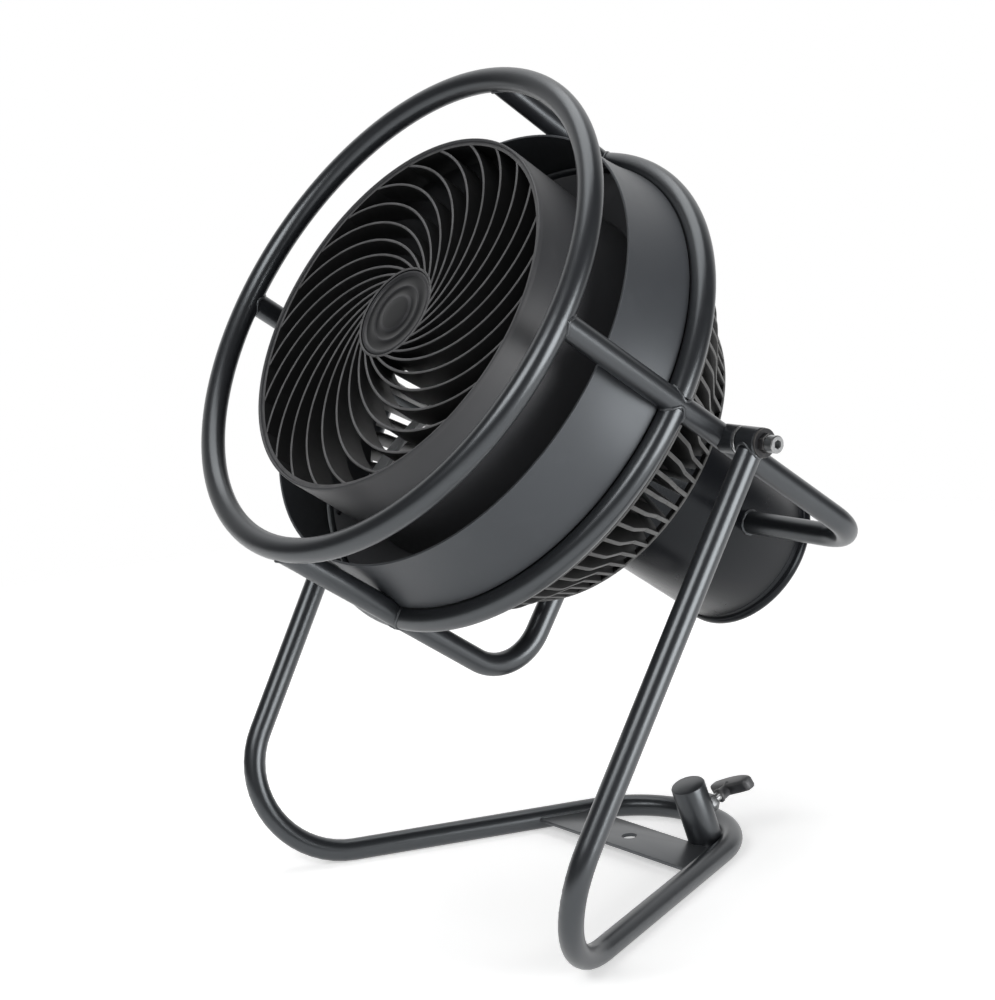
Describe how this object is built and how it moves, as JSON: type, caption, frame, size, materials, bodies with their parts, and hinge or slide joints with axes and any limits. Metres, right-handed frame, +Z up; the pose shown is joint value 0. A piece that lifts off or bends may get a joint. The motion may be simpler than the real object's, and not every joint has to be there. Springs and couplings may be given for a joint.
{
  "type": "drum fan",
  "caption": "Tilting drum fan with a spiral-vaned nozzle grille and ribbed rear guard, in a ring-and-strut tube frame on a bent-tube floor stand.",
  "frame": {"origin": "middle of the fan's overall footprint at rest, on the floor under the stand's tubes", "axes": "+Z up, X along the tilt axis, -Y the side the fan blows towards (36 degrees upwards at rest)"},
  "size_m": [0.5108, 0.5166, 0.6557],
  "materials": {
    "frame_coat": "satin black powder coat",
    "drum_coat": "satin black powder coat on sheet metal",
    "duct_plastic": "moulded black plastic, fine texture",
    "grille_plastic": "moulded black plastic",
    "badge_plastic": "smooth dark cap with concentric rings",
    "propeller_plastic": "grey moulded plastic",
    "bright_steel": "zinc-plated steel",
    "black_steel": "black-finished fastener steel",
    "cast_grip": "cast grip, grey-black",
    "motor_steel": "bare motor steel"
  },
  "bodies": {
    "floor_stand": {"yoke_tube": "frame_coat", "base_plate": "frame_coat", "yoke_boss_right": "frame_coat", "yoke_boss_left": "frame_coat", "stand_receiver": "frame_coat", "receiver_clamp_boss": "frame_coat"},
    "fan_head": {"guard_front_ring": "frame_coat", "strut_right": "frame_coat", "strut_top": "frame_coat", "strut_left": "frame_coat", "strut_bottom": "frame_coat", "drum_shell": "drum_coat", "nozzle_duct": "duct_plastic", "front_grille": "grille_plastic", "hub_badge": "badge_plastic", "rear_grille": "grille_plastic", "motor_can": "frame_coat", "motor_front_bracket": "motor_steel", "motor_rear_bracket": "motor_steel", "motor_front_bearing": "bright_steel", "motor_rear_bearing": "bright_steel", "motor_stator": "motor_steel", "motor_rear_cap": "frame_coat", "speed_switch": "duct_plastic", "cable_gland": "duct_plastic", "guard_rear_arc_upper_right": "frame_coat", "guard_rear_arc_upper_left": "frame_coat", "guard_rear_arc_lower_left": "frame_coat", "guard_rear_arc_lower_right": "frame_coat", "pivot_boss_right": "frame_coat", "friction_washer_right": "bright_steel", "flat_washer_right": "black_steel", "lock_nut_right": "black_steel", "pivot_screw_right": "black_steel", "pivot_boss_left": "frame_coat", "friction_washer_left": "bright_steel", "flat_washer_left": "black_steel", "lock_nut_left": "black_steel", "pivot_screw_left": "black_steel", "rear_grille_screw_1": "black_steel", "rear_grille_screw_2": "black_steel", "rear_grille_screw_3": "black_steel", "rear_grille_screw_4": "black_steel"},
    "propeller_rotor": {"rotor_shaft": "motor_steel", "propeller": "propeller_plastic", "propeller_nut": "bright_steel"},
    "speed_control": {"speed_knob": "duct_plastic"},
    "clamp_stud": {"clamp_screw": "bright_steel"},
    "clamp_handle": {"clamp_grip": "cast_grip"}
  },
  "joints": [
    {"name": "head_tilt", "type": "hinge", "parent": "floor_stand", "child": "fan_head", "pos_m": [0, 0.01514, 0.378], "axis": [1, 0, 0], "range_deg": [-126, 126]},
    {"name": "propeller_spin", "type": "hinge", "parent": "fan_head", "child": "propeller_rotor", "pos_m": [0, 0.01514, 0.378], "axis": [0, -0.809, 0.5878], "continuous": true},
    {"name": "speed_select", "type": "hinge", "parent": "fan_head", "child": "speed_control", "pos_m": [0, 0.21416, 0.23341], "axis": [0, 0.809, -0.5878], "range_deg": [0, 135]},
    {"name": "clamp_travel", "type": "slide", "parent": "floor_stand", "child": "clamp_stud", "axis": [0, 0.9563, 0.2924], "range_m": [-0.0025, 0.005]},
    {"name": "clamp_turn", "type": "hinge", "parent": "clamp_stud", "child": "clamp_handle", "pos_m": [0.056, 0.09304, 0.037], "axis": [0, 0.9563, 0.2924], "range_deg": [-720, 1440]}
  ],
  "couplings": [
    {"joint": "clamp_turn", "follows": "clamp_travel", "rad_per_m": 5026.5}
  ]
}
